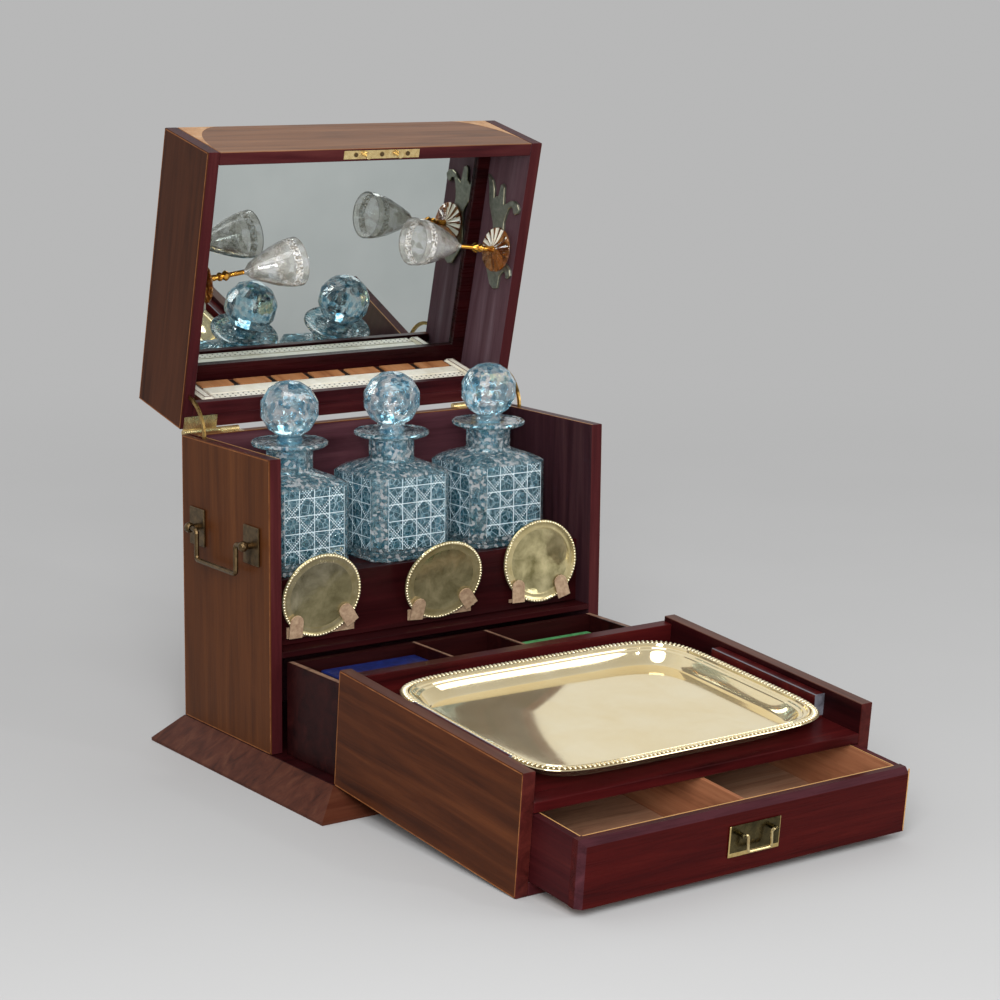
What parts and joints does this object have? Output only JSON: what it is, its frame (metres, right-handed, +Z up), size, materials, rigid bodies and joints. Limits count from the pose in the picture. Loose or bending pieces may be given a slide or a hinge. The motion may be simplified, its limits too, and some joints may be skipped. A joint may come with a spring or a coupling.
{
  "type": "decanter box",
  "caption": "Mahogany travelling drinks box with a mirrored lid, a fall-down front with tray and cigar drawer, a games drawer, cut decanters, coasters and glasses",
  "frame": {"origin": "middle of the underside of the base board", "axes": "+X to the viewer's right when facing the fall front, +Y to the back, +Z up; the fall opens towards -Y"},
  "size_m": [0.48, 0.771, 0.6376],
  "materials": {
    "veneer_brown": "french-polished figured mahogany veneer",
    "inner_red": "dark red polished mahogany",
    "cedar": "unpolished cedar lining",
    "aged_brass": "aged lacquered brass",
    "bright_gilt": "bright polished gilt",
    "clip_brass": "worn matt brass strip",
    "crystal": "cut lead crystal",
    "mirror_silver": "bevelled silvered glass",
    "bone": "polished bone and boxwood strips",
    "blue_card": "paper-covered card box",
    "green_card": "paper-covered card box"
  },
  "bodies": {
    "case": {"base_board": "inner_red", "plinth_moulding": "veneer_brown", "side_left": "veneer_brown", "side_right": "veneer_brown", "back_panel": "veneer_brown", "dust_board": "inner_red", "decanter_shelf": "inner_red", "coaster_clips_left": "clip_brass", "coaster_clips_middle": "clip_brass", "coaster_clips_right": "clip_brass", "lid_hinge_case_leaf_left": "aged_brass", "lid_hinge_case_leaf_right": "aged_brass", "fall_hinge_case_leaf_left": "aged_brass", "fall_hinge_case_leaf_right": "aged_brass", "carry_plate_front_left": "aged_brass", "carry_plate_front_right": "aged_brass", "carry_plate_back_left": "aged_brass", "carry_plate_back_right": "aged_brass"},
    "lid": {"lid_shell": "veneer_brown", "lid_side_left": "veneer_brown", "lid_side_right": "veneer_brown", "mirror_frame": "inner_red", "mirror_glass": "mirror_silver", "lock_link_plate": "aged_brass", "lid_hinge_lid_leaf_left": "aged_brass", "lid_hinge_lid_leaf_right": "aged_brass", "lid_stay_left": "aged_brass", "lid_stay_right": "aged_brass", "glass_bracket_left": "aged_brass", "glass_bracket_right": "aged_brass"},
    "fall": {"fall_panel": "veneer_brown", "fall_side_left": "veneer_brown", "fall_side_right": "veneer_brown", "fall_platform": "inner_red", "fall_hinge_fall_leaf_left": "aged_brass", "fall_hinge_fall_leaf_right": "aged_brass"},
    "cigar_drawer": {"cigar_front": "inner_red", "cigar_walls": "cedar", "cigar_bottom": "cedar", "cigar_handle_plate": "aged_brass"},
    "games_drawer": {"games_walls": "inner_red", "games_bottom": "inner_red"},
    "cribbage": {"cribbage_board": "bone"},
    "glass_left_body": {"glass_left": "crystal"},
    "glass_right_body": {"glass_right": "crystal"},
    "tray": {"serving_tray": "bright_gilt"},
    "drawer_bail": {"cigar_bail": "aged_brass"},
    "carry_bail_left": {"bail_left": "aged_brass"},
    "carry_bail_right": {"bail_right": "aged_brass"},
    "blue_pack": {"card_pack_blue": "blue_card"},
    "green_pack": {"card_pack_green": "green_card"},
    "decanter_body_left": {"decanter_left": "crystal"},
    "stopper_body_left": {"stopper_left": "crystal"},
    "coaster_body_left": {"coaster_left": "bright_gilt"},
    "decanter_body_middle": {"decanter_middle": "crystal"},
    "stopper_body_middle": {"stopper_middle": "crystal"},
    "coaster_body_middle": {"coaster_middle": "bright_gilt"},
    "decanter_body_right": {"decanter_right": "crystal"},
    "stopper_body_right": {"stopper_right": "crystal"},
    "coaster_body_right": {"coaster_right": "bright_gilt"}
  },
  "joints": [
    {"name": "lid_hinge", "type": "hinge", "parent": "case", "child": "lid", "pos_m": [0, 0.152, 0.32515], "axis": [-1, 0, 0], "range_deg": [-77, 0]},
    {"name": "fall_hinge", "type": "hinge", "parent": "case", "child": "fall", "pos_m": [0, -0.1475, 0.0255], "axis": [1, 0, 0], "range_deg": [-94.88, 0]},
    {"name": "games_drawer_slide", "type": "slide", "parent": "case", "child": "games_drawer", "axis": [0, -1, 0], "range_m": [-0.162, 0]},
    {"name": "cigar_drawer_slide", "type": "slide", "parent": "fall", "child": "cigar_drawer", "axis": [0, -0.9964, -0.0853], "range_m": [-0.07, 0.06]},
    {"name": "drawer_bail_swing", "type": "hinge", "parent": "cigar_drawer", "child": "drawer_bail", "pos_m": [0.003, -0.52748, 0.04539], "axis": [-1, 0, 0], "range_deg": [0, 80]},
    {"name": "tray_lift", "type": "slide", "parent": "fall", "child": "tray", "axis": [0, -0.0853, 0.9964], "range_m": [0, 0.12]},
    {"name": "cribbage_lift", "type": "slide", "parent": "lid", "child": "cribbage", "axis": [0, -0.225, 0.9744], "range_m": [0, 0.02]},
    {"name": "glass_left_slide", "type": "slide", "parent": "lid", "child": "glass_left_body", "axis": [1, 0, 0], "range_m": [0, 0.03]},
    {"name": "glass_right_slide", "type": "slide", "parent": "lid", "child": "glass_right_body", "axis": [-1, 0, 0], "range_m": [0, 0.03]},
    {"name": "carry_bail_left_swing", "type": "hinge", "parent": "case", "child": "carry_bail_left", "pos_m": [-0.2168, 0.05895, 0.234], "axis": [0, 1, 0], "range_deg": [0, 85]},
    {"name": "carry_bail_right_swing", "type": "hinge", "parent": "case", "child": "carry_bail_right", "pos_m": [0.2168, 0.05895, 0.234], "axis": [0, -1, 0], "range_deg": [0, 85]},
    {"name": "decanter_left_lift", "type": "slide", "parent": "case", "child": "decanter_body_left", "axis": [0, 0, 1], "range_m": [0, 0.12]},
    {"name": "stopper_left_lift", "type": "slide", "parent": "decanter_body_left", "child": "stopper_body_left", "axis": [0, 0, 1], "range_m": [0, 0.045]},
    {"name": "coaster_left_lift", "type": "slide", "parent": "case", "child": "coaster_body_left", "axis": [0, 0, 1], "range_m": [0, 0.05]},
    {"name": "decanter_middle_lift", "type": "slide", "parent": "case", "child": "decanter_body_middle", "axis": [0, 0, 1], "range_m": [0, 0.12]},
    {"name": "stopper_middle_lift", "type": "slide", "parent": "decanter_body_middle", "child": "stopper_body_middle", "axis": [0, 0, 1], "range_m": [0, 0.045]},
    {"name": "coaster_middle_lift", "type": "slide", "parent": "case", "child": "coaster_body_middle", "axis": [0, 0, 1], "range_m": [0, 0.05]},
    {"name": "decanter_right_lift", "type": "slide", "parent": "case", "child": "decanter_body_right", "axis": [0, 0, 1], "range_m": [0, 0.12]},
    {"name": "stopper_right_lift", "type": "slide", "parent": "decanter_body_right", "child": "stopper_body_right", "axis": [0, 0, 1], "range_m": [0, 0.045]},
    {"name": "coaster_right_lift", "type": "slide", "parent": "case", "child": "coaster_body_right", "axis": [0, 0, 1], "range_m": [0, 0.05]},
    {"name": "blue_pack_lift", "type": "slide", "parent": "games_drawer", "child": "blue_pack", "axis": [0, 0, 1], "range_m": [0, 0.08]},
    {"name": "green_pack_lift", "type": "slide", "parent": "games_drawer", "child": "green_pack", "axis": [0, 0, 1], "range_m": [0, 0.08]}
  ],
  "couplings": [
    {"joint": "games_drawer_slide", "follows": "fall_hinge", "m_per_rad": 0.0963}
  ]
}
